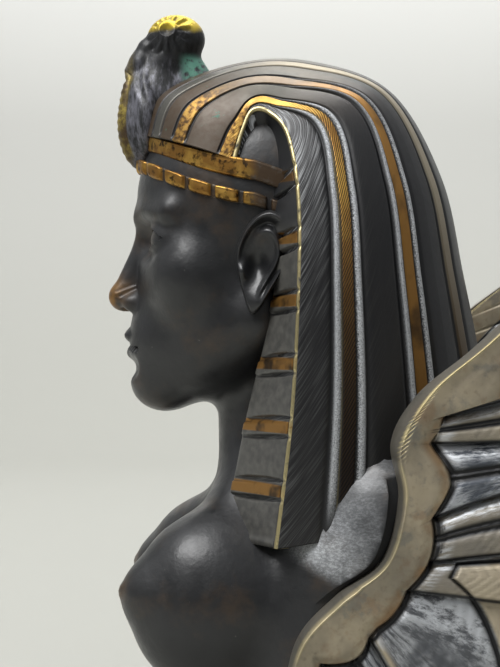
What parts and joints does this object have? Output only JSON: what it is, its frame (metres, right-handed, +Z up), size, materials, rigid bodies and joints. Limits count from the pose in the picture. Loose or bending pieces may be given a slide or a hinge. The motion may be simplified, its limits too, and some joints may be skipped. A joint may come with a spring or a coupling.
{
  "type": "winged sphinx bust",
  "caption": "Cast bronze bust of a winged sphinx in a striped nemes headdress with a uraeus, cut flat below to stand on a shelf.",
  "frame": {"origin": "on the flat underside, below the middle of the whole bust's width and depth", "axes": "+Z up; the figure looks along -Y; +X is the figure's own left side"},
  "size_m": [0.0796, 0.1013, 0.1459],
  "materials": {
    "dark_bronze": "black-brown patinated bronze, satin, with gold wear on stripes, bands and high points",
    "wing_bronze": "brown-grey rubbed bronze, satin, dark in the grooves"
  },
  "bodies": {
    "root": {"sphinx_bust": "dark_bronze", "wing_left": "wing_bronze", "wing_right": "wing_bronze"}
  },
  "joints": []
}
